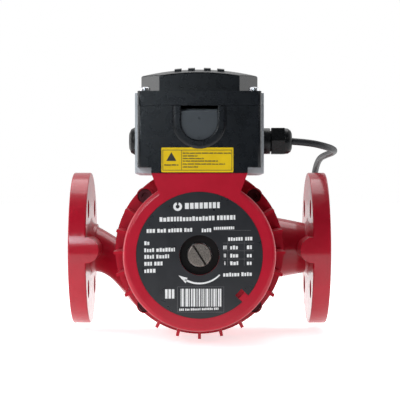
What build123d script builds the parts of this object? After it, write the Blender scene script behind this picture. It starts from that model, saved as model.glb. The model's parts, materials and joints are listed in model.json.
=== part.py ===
from build123d import *
import os
from math import cos, pi, radians, sin, tan

# In-line flanged circulator pump, DN 40, 250 mm between flange faces, with a wet-rotor motor.
# Millimetres, +Z up. The origin is the centre of the inlet flange face, and +X points out of
# the inlet along the pipe. The motor axis runs along Y through x = AXIS_X, and the motor's
# face looks towards -Y.

os.makedirs("parts", exist_ok=True)

# ---------------------------------------------------------------- driving dimensions
FACE_TO_FACE = 250.0
FLANGE_R = 75.0
FLANGE_T = 17.0
BORE_R = 20.0
BORE_STRAIGHT = 15.0
FLANGE_BOLT_R = 55.0
FLANGE_HOLE_R = 9.0
GAUGE_BOSS_R = 12.3
NECK_SPLIT = 84.0  # place on the necks where the flanges' nodes end, just outside the casing

AXIS_X = -FACE_TO_FACE / 2
FACE_X = FACE_TO_FACE / 2
INNER_X = FACE_X - FLANGE_T

BASE_R = 80.7  # pump housing flange that carries the motor
BASE_BACK_Y = -44.0
JOINT_Y = -58.0  # plane between the pump housing and the motor housing
PLATE_SEAT_Y = -53.0
PLATE_R = 67.5
VOLUTE_R = 77.0

MOTOR_FLANGE_R = 79.7
MOTOR_FLANGE_Y = -68.0
SHELL_R = 66.4
SHELL_BORE_R = 58.2
MOTOR_WALL_Y = -182.0
MOTOR_FACE_Y = -190.0
FIN_R = 77.6
FIN_T = 2.8
FIN_END_Y = -138.0
FACE_EDGE_R = 4.0  # rounding round the motor's face
FIN_ANGLES = (0, 15, 30, -15, -30, -60, -75, -90, -105, -120, -150, -165, 180, 165, 150)
MOTOR_SCREW_R = 73.0
MOTOR_SCREW_ANGLES = (45, 135, 225, 315)

SHAFT_R = 7.5
CAN_BORE_R = 29.7
CAN_WALL = 0.6
ROTOR_R = 28.6
JACKET_R = 28.9
RUNNING = 0.05  # radial clearance of the shaft in its bushes
IMPELLER_R = 51.0
VANES = 6
SLOTS = 24

RECESS_R = 17.3  # recess around the vent screw
NAMEPLATE_R = 54.7
NAMEPLATE_T = 0.6
VENT_HEAD_R = 10.2
VENT_SHANK_R = 7.9

BOX_FLOOR_Z = 71.0
BOX_X = 56.5
BOX_FRONT_Y = -172.0
BOX_BACK_Y = -70.0
BOX_TOP_Z = 141.5
BOX_WALL = 2.5
LEDGE_Z = 127.7
COVER_X = 53.6
COVER_FRONT_Y = -191.0
PARTING_Z = 129.2
LID_GAP = 0.2
LID_LEDGE_Z = 142.0
LID_BACK_Y = -73.0
LID_WALL = 2.5
DOME_R = 220.0
DOME_TOP_Z = 165.4
DOME_Y = -127.0
LID_SCREW_X = 47.3
LID_SCREW_YS = (-182.5, -79.5)

GLAND_Y = -108.0
GLAND_Z = 102.0

CORD_R = 3.25
COIL_X = 0.0
COIL_Y = 130.0
COIL_Z = -73.1
COIL_MID_R = 37.0
COIL_TURN_RADII = (43.5, 37.0, 30.5, 30.5, 37.0)
LAST_TURN = 0.25  # of a turn between the coil's widest two, before the loose end
LAST_TURN_R = 40.0
LOOSE_RUN = 25.0

MOTOR_AXIS = Axis((AXIS_X, 0, 0), (0, 1, 0))
GLAND_AXIS = Axis((AXIS_X, GLAND_Y, GLAND_Z), (1, 0, 0))
TURNING = Plane(origin=(AXIS_X, 0, 0))
GLAND_TURNING = Plane(origin=(AXIS_X, GLAND_Y, GLAND_Z), z_dir=(0, 0, 1))


# ---------------------------------------------------------------- helpers
def facing(y):
    """Plane across the motor axis at depth y: right, up, and its normal towards the front."""
    return Plane(origin=(AXIS_X, y, 0), x_dir=(1, 0, 0), z_dir=(0, -1, 0))


def across(x):
    """Plane across the pipe, x from the motor axis: back, up, and its normal along +X."""
    return Plane(origin=(AXIS_X + x, 0, 0), x_dir=(0, 1, 0), z_dir=(1, 0, 0))


def level(z):
    """Horizontal plane over the motor axis at height z."""
    return Plane(origin=(AXIS_X, 0, z))


def turn(outline, axis=MOTOR_AXIS, plane=TURNING, mode=Mode.ADD):
    """Revolve a closed outline, given as points on the plane, about the axis."""
    with BuildSketch(plane) as profile:
        with BuildLine():
            Polyline(*outline, close=True)
        make_face()
    revolve(profile.sketch, axis=axis, mode=mode)


def ring(inner, outer, back, front, mode=Mode.ADD):
    """Ring about the motor axis between two depths."""
    turn([(inner, back), (outer, back), (outer, front), (inner, front)], mode=mode)


def gland_ring(inner, outer, start, end, mode=Mode.ADD):
    """Ring about the cable gland's axis between two places along X."""
    outline = [(start, inner), (end, inner), (end, outer), (start, outer)]
    turn(outline, axis=GLAND_AXIS, plane=GLAND_TURNING, mode=mode)


def block(x_low, x_high, y_low, y_high, z_low, z_high, mode=Mode.ADD):
    """Box between limits measured from the motor axis in x, and in the row frame in y and z."""
    with BuildSketch(level(z_low)) as base:
        with Locations(((x_low + x_high) / 2, (y_low + y_high) / 2)):
            Rectangle(x_high - x_low, y_high - y_low)
    extrude(base.sketch, amount=z_high - z_low, mode=mode)


def around(radius, angles):
    """Places on a circle about the motor axis, as seen from the front."""
    return [(radius * cos(radians(a)), radius * sin(radians(a))) for a in angles]


def save(piece, name):
    """Label the finished piece and write it to its own STEP file."""
    piece.part.label = name
    export_step(piece.part, f"parts/{name}.step")


# ---------------------------------------------------------------- pump housing
# Blank gauge bosses on the front of each flange, ended by the flange's own rim surface.
with BuildPart() as gauge_bosses:
    with BuildSketch(facing(0)):
        with Locations((-INNER_X, 0), (INNER_X, 0)):
            Circle(GAUGE_BOSS_R)
    extrude(amount=FLANGE_R + 5)
    with BuildSketch(across(0)):
        Circle(FLANGE_R)
    extrude(amount=FACE_X - 1, both=True, mode=Mode.INTERSECT)

# Necks and passages as (x, y, z, radius) of their sections, from the flange inwards.
INLET_NECK = [(INNER_X, 0, 0, 23.8), (81, 4, 0, 29.4), (50, 16, 0, 33.5), (20, 26, 0, 34.5)]
INLET_PASSAGE = [(110, 0, 0, BORE_R), (80, 5, 0, 22), (45, 20, 0, 24), (5, 30, 0, 24)]
OUTLET_NECK = [(-INNER_X, 0, 0, 24), (-90, -4, -7, 21.8), (-76, -10, -18, 25), (-52, -20, -30, 34)]
OUTLET_PASSAGE = [(-110, 0, 0, BORE_R), (-88, -5, -8, 17), (-68, -15, -20, 17), (-46, -25, -34, 16)]

with BuildPart() as casting:
    for side in (-1, 1):
        with BuildSketch(across(side * INNER_X)):
            Circle(FLANGE_R)
        extrude(amount=side * FLANGE_T)
    fillet(casting.edges().filter_by(GeomType.CIRCLE), radius=1.2)
    add(gauge_bosses.part)
    for x, y, z, radius in INLET_NECK:
        with BuildSketch(across(x)):
            with Locations((y, z)):
                Circle(radius)
    loft()
    for x, y, z, radius in OUTLET_NECK:
        with BuildSketch(across(x)):
            with Locations((y, z)):
                Circle(radius)
    loft()
    with BuildSketch(TURNING):
        with BuildLine():
            Polyline((0, 26), (0, JOINT_Y), (BASE_R, JOINT_Y), (BASE_R, BASE_BACK_Y), (VOLUTE_R, -42))
            Line((VOLUTE_R, -42), (VOLUTE_R, -8))
            ThreePointArc((VOLUTE_R, -8), (68, 16), (44, 26))
            Line((44, 26), (0, 26))
        make_face()
    revolve(axis=MOTOR_AXIS)
    turn([(0, 20), (36, 20), (36, 46), (28, 57), (0, 60)])
    # Seat for the bearing plate, the impeller's chamber, the wear ring's seat and the eye.
    ring(0, PLATE_R + 0.3, PLATE_SEAT_Y, JOINT_Y, mode=Mode.SUBTRACT)
    turn([(0, -8), (62, -8), (70, -16), (70, -40), (61, -46), (61, PLATE_SEAT_Y), (0, PLATE_SEAT_Y)],
         mode=Mode.SUBTRACT)
    ring(0, 30, 0, -8, mode=Mode.SUBTRACT)
    turn([(0, 0), (24, 0), (24, 42), (16, 50), (0, 52)], mode=Mode.SUBTRACT)
    for passage in (INLET_PASSAGE, OUTLET_PASSAGE):
        for x, y, z, radius in passage:
            with BuildSketch(across(x)):
                with Locations((y, z)):
                    Circle(radius)
        loft(mode=Mode.SUBTRACT)
    for side in (-1, 1):
        with BuildSketch(across(side * FACE_X)):
            Circle(BORE_R)
            with Locations(*around(FLANGE_BOLT_R, (45, 135, 225, 315))):
                Circle(FLANGE_HOLE_R)
        extrude(amount=-side * BORE_STRAIGHT, mode=Mode.SUBTRACT)
        with BuildSketch(across(side * FACE_X)):
            with Locations(*around(FLANGE_BOLT_R, (45, 135, 225, 315))):
                Circle(FLANGE_HOLE_R)
        extrude(amount=-side * FLANGE_T, mode=Mode.SUBTRACT)
    with BuildSketch(facing(BASE_BACK_Y + 1)):
        with Locations(*around(MOTOR_SCREW_R, MOTOR_SCREW_ANGLES)):
            Circle(4.05)
    extrude(amount=BASE_BACK_Y + 1 - JOINT_Y, mode=Mode.SUBTRACT)

# The one casting as three nodes that meet face to face on its necks.
with BuildPart() as inlet_flange:
    add(casting.part)
    split(bisect_by=across(NECK_SPLIT), keep=Keep.TOP)
save(inlet_flange, "inlet_flange")

with BuildPart() as outlet_flange:
    add(casting.part)
    split(bisect_by=across(-NECK_SPLIT), keep=Keep.BOTTOM)
save(outlet_flange, "outlet_flange")

with BuildPart() as pump_housing:
    add(casting.part)
    split(bisect_by=across(NECK_SPLIT), keep=Keep.BOTTOM)
    split(bisect_by=across(-NECK_SPLIT), keep=Keep.TOP)
save(pump_housing, "pump_housing")

with BuildPart() as wear_ring:
    ring(26.1, 29.95, -0.5, -8)
save(wear_ring, "wear_ring")

with BuildPart() as housing_gasket:
    ring(62, 67.5, PLATE_SEAT_Y, PLATE_SEAT_Y - 1.5)
save(housing_gasket, "housing_gasket")

# ---------------------------------------------------------------- bearings and rotor can
with BuildPart() as bearing_plate:
    turn([(12.05, -46), (16, -46), (16, -54.5), (PLATE_R, -54.5), (PLATE_R, -57.9), (19, -57.9),
          (19, -66), (12.05, -66)])
    with BuildSketch(facing(-54)):
        with PolarLocations(40, 3):
            Circle(2.5)
    extrude(amount=5, mode=Mode.SUBTRACT)
save(bearing_plate, "bearing_plate")

with BuildPart() as rear_bush:
    ring(SHAFT_R + RUNNING, 12, -47, -66)
save(rear_bush, "rear_bearing_bush")

with BuildPart() as rotor_can:
    turn([(CAN_BORE_R, -59), (66, -59), (66, -58), (CAN_BORE_R - 5, -58), (CAN_BORE_R - 5, -58.6),
          (CAN_BORE_R, -58.6)])
    ring(CAN_BORE_R, CAN_BORE_R + CAN_WALL, -58.5, -170)
    ring(12, CAN_BORE_R + CAN_WALL, -169, -170)
save(rotor_can, "rotor_can")

with BuildPart() as bearing_carrier:
    turn([(11.05, -158), (14, -158), (14, -164.5), (29.4, -164.5), (29.4, -168.8), (11.05, -168.8)])
    with BuildSketch(facing(-164)):
        with PolarLocations(21.5, 4):
            Circle(2.5)
    extrude(amount=6, mode=Mode.SUBTRACT)
save(bearing_carrier, "front_bearing_carrier")

with BuildPart() as front_bush:
    ring(SHAFT_R + RUNNING, 11, -158, -168.5)
save(front_bush, "front_bearing_bush")

with BuildPart() as vent_seat:
    turn([(8.25, -169.2), (11.9, -169.2), (11.9, -170.1), (16, -170.1), (16, -180), (8.25, -180)])
save(vent_seat, "vent_seat")

# ---------------------------------------------------------------- turning assembly
with BuildPart() as rotor_shaft:
    ring(0, SHAFT_R, -36, -167)
    ring(0, 5, -26, -36)
    chamfer(rotor_shaft.edges().filter_by(GeomType.CIRCLE).group_by(Axis.Y)[0], length=0.8)
save(rotor_shaft, "rotor_shaft")

with BuildPart() as rotor_core:
    ring(SHAFT_R, ROTOR_R, -84, -146)
save(rotor_core, "rotor_core")

with BuildPart() as end_rings:
    ring(14, ROTOR_R, -78, -84)
    ring(14, ROTOR_R, -146, -152)
save(end_rings, "rotor_end_rings")

with BuildPart() as rotor_jacket:
    ring(ROTOR_R, JACKET_R, -77.8, -152.2)
save(rotor_jacket, "rotor_jacket")

with BuildPart() as thrust_bearing:
    ring(SHAFT_R, 12.5, -67, -72)
save(thrust_bearing, "thrust_bearing")

with BuildPart() as impeller:
    turn([(5, -27), (11, -27), (13, -36), (IMPELLER_R, -40), (IMPELLER_R, -43), (12, -43), (12, -45.5),
          (SHAFT_R, -45.5), (SHAFT_R, -36), (5, -36)])
    with BuildSketch(facing(-20.2)):
        for vane in range(VANES):
            with BuildLine(mode=Mode.PRIVATE) as camber:
                start = PolarLocations(19, 1, start_angle=vane * 360 / VANES).locations[0].position
                middle = PolarLocations(37, 1, start_angle=vane * 360 / VANES + 22).locations[0].position
                end = PolarLocations(49, 1, start_angle=vane * 360 / VANES + 62).locations[0].position
                ThreePointArc((start.X, start.Y), (middle.X, middle.Y), (end.X, end.Y))
            SlotArc(camber.line.edge(), height=2.2)
    extrude(amount=20)
    turn([(26, -19.96), (60, -24.64), (60, -19)], mode=Mode.SUBTRACT)
save(impeller, "impeller")

with BuildPart() as impeller_shroud:
    turn([(22.5, -6), (25.7, -6), (25.7, -17.5), (IMPELLER_R, -21.4), (IMPELLER_R, -23.3), (27, -20),
          (22.5, -20)])
save(impeller_shroud, "impeller_shroud")

with BuildPart() as impeller_nut:
    with BuildSketch(facing(-20.5)):
        RegularPolygon(7.5, 6, major_radius=False)
        Circle(5.05, mode=Mode.SUBTRACT)
    extrude(amount=6.5)
    ring(0, 7, -20.5, -19)
    ring(0, 5.05, -20, -26, mode=Mode.SUBTRACT)
save(impeller_nut, "impeller_nut")

# ---------------------------------------------------------------- stator
with BuildPart() as stator_core:
    ring(30.6, SHELL_BORE_R - 0.1, -80, -154)
    with BuildSketch(facing(-80)):
        with PolarLocations(40, SLOTS):
            Rectangle(13, 3.4)
    extrude(amount=74, mode=Mode.SUBTRACT)
save(stator_core, "stator_core")

with BuildPart() as stator_windings:
    for front_y, back_y in ((-168, -154.1), (-79.9, -65)):
        ring(33.5, 52, back_y, front_y)
    with BuildSketch(facing(-75)):
        with PolarLocations(40, SLOTS):
            Rectangle(12.6, 3.0)
    extrude(amount=84)
    outer_rims = stator_windings.edges().filter_by(GeomType.CIRCLE)
    fillet(outer_rims.filter_by(lambda edge: edge.radius > 51).group_by(Axis.Y)[0], radius=4)
    fillet(stator_windings.edges().filter_by(GeomType.CIRCLE)
           .filter_by(lambda edge: edge.radius > 51).group_by(Axis.Y)[-1], radius=4)
save(stator_windings, "stator_windings")

# ---------------------------------------------------------------- motor housing
PEDESTAL = [(-33.8, 50), (-41.7, BOX_FLOOR_Z), (41.7, BOX_FLOOR_Z), (33.8, 50)]
BOX_SCREWS = [(x, y) for x in (-35, 35) for y in (-160, -84)]
LEAD_HOLE = (22, -112)
LUG_ANGLE = -43.5
LUG_IN = 50.5  # inner end of the locating lug
POCKET_IN = 46.3  # inner end of the pocket beside it, and of the nameplate's notch
LUG_W = 7.0
POCKET_DEPTH = 3.5

with BuildPart() as motor_housing:
    ring(0, SHELL_R, MOTOR_FLANGE_Y + 1, MOTOR_FACE_Y)
    fillet(motor_housing.edges().group_by(Axis.Y)[0], radius=FACE_EDGE_R)
    ring(0, MOTOR_FLANGE_R, JOINT_Y, MOTOR_FLANGE_Y)
    with BuildSketch(facing(MOTOR_FLANGE_Y)):
        for angle in FIN_ANGLES:
            with Locations(*around((SHELL_R + FIN_R) / 2 - 1, (angle,))):
                Rectangle(FIN_R - SHELL_R + 2, FIN_T, rotation=angle)
    extrude(amount=MOTOR_FLANGE_Y - FIN_END_Y)
    with BuildSketch(facing(MOTOR_FLANGE_Y)):
        with Locations(*around(MOTOR_SCREW_R, MOTOR_SCREW_ANGLES)):
            Circle(7.9)
    extrude(amount=9)
    with BuildSketch(facing(MOTOR_FLANGE_Y - 3)):
        with BuildLine():
            Polyline(*PEDESTAL, close=True)
        make_face()
    extrude(amount=MOTOR_FLANGE_Y - 3 - MOTOR_FACE_Y)
    ring(0, SHELL_BORE_R, JOINT_Y - 1, MOTOR_WALL_Y, mode=Mode.SUBTRACT)
    ring(0, 66.2, JOINT_Y, JOINT_Y - 1, mode=Mode.SUBTRACT)
    ring(0, RECESS_R, MOTOR_WALL_Y, MOTOR_FACE_Y, mode=Mode.SUBTRACT)
    ring(RECESS_R - 1, NAMEPLATE_R + 0.3, MOTOR_FACE_Y + NAMEPLATE_T, MOTOR_FACE_Y, mode=Mode.SUBTRACT)
    with BuildSketch(facing(MOTOR_FACE_Y + NAMEPLATE_T)):
        with Locations(*around((LUG_IN + NAMEPLATE_R + 1) / 2, (LUG_ANGLE,))):
            Rectangle(NAMEPLATE_R + 1 - LUG_IN, LUG_W, rotation=LUG_ANGLE)
    extrude(amount=NAMEPLATE_T)
    with BuildSketch(facing(MOTOR_FACE_Y)):
        with Locations(*around((LUG_IN + POCKET_IN) / 2, (LUG_ANGLE,))):
            Rectangle(LUG_IN - POCKET_IN, LUG_W, rotation=LUG_ANGLE)
    extrude(amount=-POCKET_DEPTH, mode=Mode.SUBTRACT)
    with BuildSketch(facing(JOINT_Y)):
        with Locations(*around(MOTOR_SCREW_R, MOTOR_SCREW_ANGLES)):
            Circle(4.5)
    extrude(amount=30, mode=Mode.SUBTRACT)
    with BuildSketch(facing(MOTOR_FLANGE_Y + 2)):
        with Locations(*around(MOTOR_SCREW_R, MOTOR_SCREW_ANGLES)):
            Circle(7)
    extrude(amount=30, mode=Mode.SUBTRACT)
    with BuildSketch(level(BOX_FLOOR_Z)):
        with Locations(*BOX_SCREWS):
            Circle(1.8)
    extrude(amount=-10, mode=Mode.SUBTRACT)
    with BuildSketch(level(BOX_FLOOR_Z)):
        with Locations(LEAD_HOLE):
            Circle(8)
    extrude(amount=-25, mode=Mode.SUBTRACT)
save(motor_housing, "motor_housing")

with BuildPart() as motor_screws:
    places = around(MOTOR_SCREW_R, MOTOR_SCREW_ANGLES)
    with BuildSketch(facing(MOTOR_FLANGE_Y + 2)):
        with Locations(*places):
            Circle(6.5)
    extrude(amount=8)
    with BuildSketch(facing(BASE_BACK_Y - 1)):
        with Locations(*places):
            Circle(4)
    extrude(amount=BASE_BACK_Y - 1 - MOTOR_FLANGE_Y)
    with BuildSketch(facing(MOTOR_FLANGE_Y - 2)):
        with Locations(*places):
            RegularPolygon(3, 6, major_radius=False)
    extrude(amount=10, mode=Mode.SUBTRACT)
save(motor_screws, "motor_screws")

with BuildPart() as nameplate:
    ring(RECESS_R, NAMEPLATE_R, MOTOR_FACE_Y + NAMEPLATE_T, MOTOR_FACE_Y)
    with BuildSketch(facing(MOTOR_FACE_Y + NAMEPLATE_T + 1)):
        with Locations(*around((POCKET_IN + NAMEPLATE_R + 2) / 2, (LUG_ANGLE,))):
            Rectangle(NAMEPLATE_R + 2 - POCKET_IN, LUG_W + 0.8, rotation=LUG_ANGLE)
    extrude(amount=4, mode=Mode.SUBTRACT)
save(nameplate, "nameplate")

# ---------------------------------------------------------------- vent screw
with BuildPart() as recess_grommet:
    ring(10.8, RECESS_R - 0.05, -181, -183.5)
save(recess_grommet, "recess_grommet")

with BuildPart() as vent_screw:
    ring(0, VENT_HEAD_R, -181.2, -187)
    fillet(vent_screw.edges().filter_by(GeomType.CIRCLE).group_by(Axis.Y)[0], radius=0.8)
    ring(0, VENT_SHANK_R, -171, -181.2)
    with BuildSketch(facing(-184.8)):
        Rectangle(2 * VENT_HEAD_R + 2, 1.8, rotation=-57)
    extrude(amount=4, mode=Mode.SUBTRACT)
save(vent_screw, "vent_screw")

with BuildPart() as vent_seal:
    ring(VENT_SHANK_R + 0.35, 10, -180, -181.2)
save(vent_seal, "vent_screw_seal")

# ---------------------------------------------------------------- terminal box base
with BuildPart() as box_base:
    block(-BOX_X, BOX_X, BOX_FRONT_Y, BOX_BACK_Y, BOX_FLOOR_Z, BOX_TOP_Z)
    fillet(box_base.edges().filter_by(Axis.Z).group_by(Axis.Y)[-1], radius=4)
    cavity_x = BOX_X - BOX_WALL
    front, back = BOX_FRONT_Y + BOX_WALL, BOX_BACK_Y - BOX_WALL
    block(-cavity_x, cavity_x, front, back, BOX_FLOOR_Z + 3, LEDGE_Z - 3, mode=Mode.SUBTRACT)
    block(-cavity_x + 3, cavity_x - 3, front + 3, back - 3, LEDGE_Z - 3, LEDGE_Z, mode=Mode.SUBTRACT)
    block(-cavity_x, cavity_x, BOX_FRONT_Y, back, LEDGE_Z, BOX_TOP_Z, mode=Mode.SUBTRACT)
    with BuildSketch(level(BOX_FLOOR_Z + 3)):
        with Locations((-LID_SCREW_X, LID_SCREW_YS[1]), (LID_SCREW_X, LID_SCREW_YS[1])):
            Circle(5.5)
    extrude(amount=LEDGE_Z - BOX_FLOOR_Z - 3)
    with BuildSketch(level(LEDGE_Z)):
        with Locations((-LID_SCREW_X, LID_SCREW_YS[1]), (LID_SCREW_X, LID_SCREW_YS[1])):
            Circle(2.2)
    extrude(amount=-25, mode=Mode.SUBTRACT)
    with BuildSketch(level(BOX_FLOOR_Z)):
        with Locations(*BOX_SCREWS):
            Circle(2.3)
        with Locations(LEAD_HOLE):
            Circle(8)
    extrude(amount=3, mode=Mode.SUBTRACT)
    with BuildSketch(across(-BOX_X)):
        with Locations((GLAND_Y, GLAND_Z)):
            Circle(10.1)
    extrude(amount=2 * BOX_X, mode=Mode.SUBTRACT)
save(box_base, "terminal_box_base")

# ---------------------------------------------------------------- terminal box front
WINDOW_R = 16.0
FRAME_R = 21.7
WINDOW_Z = 115.2
FRAME_T = 1.6


def arch(half_width, top_z):
    """Sketch of an upright U: a half round below WINDOW_Z and straight sides up to top_z."""
    with Locations((0, WINDOW_Z)):
        Circle(half_width)
    with Locations((0, (WINDOW_Z + top_z) / 2)):
        Rectangle(2 * half_width, top_z - WINDOW_Z)
    with Locations((0, top_z + half_width / 2)):
        Rectangle(2 * half_width, half_width, mode=Mode.SUBTRACT)


with BuildPart() as box_front:
    block(-COVER_X, COVER_X, COVER_FRONT_Y, BOX_FRONT_Y, BOX_FLOOR_Z, PARTING_Z)
    fillet(box_front.edges().filter_by(Axis.Z).group_by(Axis.Y)[0], radius=3)
    for side in (-1, 1):
        corner = sorted((side * (COVER_X - 12), side * (COVER_X + 1)))
        block(corner[0], corner[1], COVER_FRONT_Y - 1, BOX_FRONT_Y, BOX_FLOOR_Z, BOX_FLOOR_Z + 5,
              mode=Mode.SUBTRACT)
    block(-COVER_X + 2.6, COVER_X - 2.6, COVER_FRONT_Y + 3, BOX_FRONT_Y, BOX_FLOOR_Z + 7.5, PARTING_Z,
          mode=Mode.SUBTRACT)
    with BuildSketch(level(BOX_FLOOR_Z + 19)):
        with Locations((-LID_SCREW_X, LID_SCREW_YS[0]), (LID_SCREW_X, LID_SCREW_YS[0])):
            Circle(5.5)
    extrude(amount=PARTING_Z - BOX_FLOOR_Z - 19)
    with BuildSketch(level(PARTING_Z)):
        with Locations((-LID_SCREW_X, LID_SCREW_YS[0]), (LID_SCREW_X, LID_SCREW_YS[0])):
            Circle(2.2)
    extrude(amount=-25, mode=Mode.SUBTRACT)
    with BuildSketch(facing(COVER_FRONT_Y)):
        arch(FRAME_R, PARTING_Z)
    extrude(amount=FRAME_T)
    with BuildSketch(facing(COVER_FRONT_Y + 3)):
        arch(WINDOW_R, PARTING_Z)
    extrude(amount=10, mode=Mode.SUBTRACT)
    fillet(box_front.faces().sort_by(Axis.Y)[0].edges(), radius=0.9)
save(box_front, "terminal_box_front")

with BuildPart() as module_plate:
    with BuildSketch(facing(COVER_FRONT_Y + 3)):
        arch(WINDOW_R - 0.3, 124.7)
    extrude(amount=2)
    with BuildSketch(facing(COVER_FRONT_Y + 5)):
        arch(WINDOW_R + 2.5, 124.7)
    extrude(amount=2)
    with BuildSketch(facing(COVER_FRONT_Y + 2)):
        with Locations((0, 118.3), (0, 101.6)):
            Circle(1.2)
    extrude(amount=3, mode=Mode.SUBTRACT)
save(module_plate, "module_blank_plate")

with BuildPart() as sticker:
    with BuildSketch(facing(COVER_FRONT_Y)):
        with Locations((-1.75, 82.3)):
            RectangleRounded(62.1, 21.4, 0.8)
    extrude(amount=0.3)
save(sticker, "caution_sticker")

# ---------------------------------------------------------------- terminal box lid
def lid_plan(inset):
    """Eight-sided outline of the lid's raised middle, moved inwards by inset."""
    x_wide, x_narrow = 51.6 - inset, 35 - inset * 0.6
    y_front, y_back = -178 + inset, -76 - inset
    y_near, y_far = -155 + inset * 0.4, -99 - inset * 0.4
    return [(-x_narrow, y_front), (x_narrow, y_front), (x_wide, y_near), (x_wide, y_far),
            (x_narrow, y_back), (-x_narrow, y_back), (-x_wide, y_far), (-x_wide, y_near)]


def lid_middle(inset, base_z):
    """Raised middle of the lid under its domed top, inset on every side."""
    with BuildPart(mode=Mode.PRIVATE) as middle:
        with BuildSketch(level(base_z)) as plan:
            with BuildLine():
                Polyline(*lid_plan(inset), close=True)
            make_face()
        extrude(plan.sketch, amount=DOME_TOP_Z + 5 - base_z)
        with Locations((AXIS_X, DOME_Y, DOME_TOP_Z - DOME_R)):
            Sphere(DOME_R - inset, mode=Mode.INTERSECT)
    return middle.part


with BuildPart() as lid_ribs:
    for x in (-19, -7, 7, 19):
        block(x - 3, x + 3, -166, -88, 150, DOME_TOP_Z + 5)
    with Locations((AXIS_X, DOME_Y, DOME_TOP_Z - DOME_R)):
        Sphere(DOME_R + 1.6, mode=Mode.INTERSECT)

SKIRT_Z = PARTING_Z + LID_GAP
SKIRT_TOP_Z = LID_LEDGE_Z - LID_WALL

with BuildPart() as box_lid:
    block(-COVER_X, COVER_X, COVER_FRONT_Y, LID_BACK_Y, SKIRT_Z, LID_LEDGE_Z)
    fillet(box_lid.edges().filter_by(Axis.Z), radius=3)
    add(lid_middle(0, SKIRT_TOP_Z))
    fillet(box_lid.edges().filter_by(lambda edge: edge.center().Z > LID_LEDGE_Z + 14), radius=1.6)
    add(lid_ribs.part)
    block(-COVER_X + LID_WALL, COVER_X - LID_WALL, COVER_FRONT_Y + LID_WALL, LID_BACK_Y - LID_WALL,
          SKIRT_Z, SKIRT_TOP_Z, mode=Mode.SUBTRACT)
    add(lid_middle(LID_WALL, SKIRT_TOP_Z), mode=Mode.SUBTRACT)
    with BuildSketch(level(SKIRT_Z)):
        with Locations(*[(x, y) for x in (-LID_SCREW_X, LID_SCREW_X) for y in LID_SCREW_YS]):
            Circle(5.5)
    extrude(amount=SKIRT_TOP_Z - SKIRT_Z)
    with BuildSketch(level(SKIRT_Z)):
        with Locations(*[(x, y) for x in (-LID_SCREW_X, LID_SCREW_X) for y in LID_SCREW_YS]):
            Circle(2.2)
    extrude(amount=LID_LEDGE_Z - SKIRT_Z, mode=Mode.SUBTRACT)
save(box_lid, "terminal_box_lid")

with BuildPart() as lid_screws:
    places = [(x, y) for x in (-LID_SCREW_X, LID_SCREW_X) for y in LID_SCREW_YS]
    with BuildSketch(level(LID_LEDGE_Z)):
        with Locations(*places):
            Circle(4.5)
    extrude(amount=3.6)
    fillet(lid_screws.edges().group_by(Axis.Z)[-1], radius=1.4)
    with BuildSketch(level(LID_LEDGE_Z - 34)):
        with Locations(*places):
            Circle(1.75)
    extrude(amount=34)
    with BuildSketch(level(LID_LEDGE_Z + 1.6)):
        for place in places:
            with Locations(place):
                Rectangle(5, 1.1, rotation=35)
                Rectangle(1.1, 5, rotation=35)
    extrude(amount=4, mode=Mode.SUBTRACT)
save(lid_screws, "lid_screws")

with BuildPart() as lid_gasket:
    block(-COVER_X, COVER_X, BOX_FRONT_Y + 0.2, LID_BACK_Y, LEDGE_Z, LEDGE_Z + 1.6)
    block(-COVER_X + 2.4, COVER_X - 2.4, BOX_FRONT_Y + 2.5, LID_BACK_Y - 2.4, LEDGE_Z, LEDGE_Z + 1.6,
          mode=Mode.SUBTRACT)
save(lid_gasket, "lid_gasket")

# ---------------------------------------------------------------- inside the terminal box
FLOOR_Z = BOX_FLOOR_Z + 3
TERMINALS = [(-20 + 8 * i, -152) for i in range(6)]

with BuildPart() as terminal_block:
    block(-26, 26, -161, -143, FLOOR_Z, FLOOR_Z + 16)
    for x, y in TERMINALS:
        block(x - 2.6, x + 2.6, y - 12, y + 12, FLOOR_Z + 4, FLOOR_Z + 9, mode=Mode.SUBTRACT)
    with BuildSketch(level(FLOOR_Z + 16)):
        with Locations(*TERMINALS):
            Circle(2.8)
    extrude(amount=-7, mode=Mode.SUBTRACT)
save(terminal_block, "terminal_block")

with BuildPart() as terminal_screws:
    with BuildSketch(level(FLOOR_Z + 9)):
        with Locations(*TERMINALS):
            Circle(2.4)
    extrude(amount=5)
    with BuildSketch(level(FLOOR_Z + 13)):
        with Locations(*TERMINALS):
            Rectangle(6, 0.9)
    extrude(amount=3, mode=Mode.SUBTRACT)
    for x, y in TERMINALS:
        block(x - 2.5, x + 2.5, y - 6, y + 6, FLOOR_Z + 7.5, FLOOR_Z + 9)
save(terminal_screws, "terminal_screws")

with BuildPart() as box_screws:
    with BuildSketch(level(FLOOR_Z)):
        with Locations(*BOX_SCREWS):
            Circle(4)
    extrude(amount=2.8)
    with BuildSketch(level(FLOOR_Z)):
        with Locations(*BOX_SCREWS):
            Circle(1.75)
    extrude(amount=-12)
    with BuildSketch(level(FLOOR_Z + 1.4)):
        with Locations(*BOX_SCREWS):
            Rectangle(5, 1)
            Rectangle(1, 5)
    extrude(amount=3, mode=Mode.SUBTRACT)
save(box_screws, "box_fixing_screws")

SELECTOR = (-18, -112)
with BuildPart() as selector_base:
    block(SELECTOR[0] - 17, SELECTOR[0] + 17, SELECTOR[1] - 17, SELECTOR[1] + 17, FLOOR_Z, FLOOR_Z + 14)
    chamfer(selector_base.edges().group_by(Axis.Z)[-1], length=1.5)
    with BuildSketch(level(FLOOR_Z + 14)):
        with Locations(SELECTOR):
            Circle(3.4)
    extrude(amount=-9, mode=Mode.SUBTRACT)
save(selector_base, "selector_base")

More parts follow.
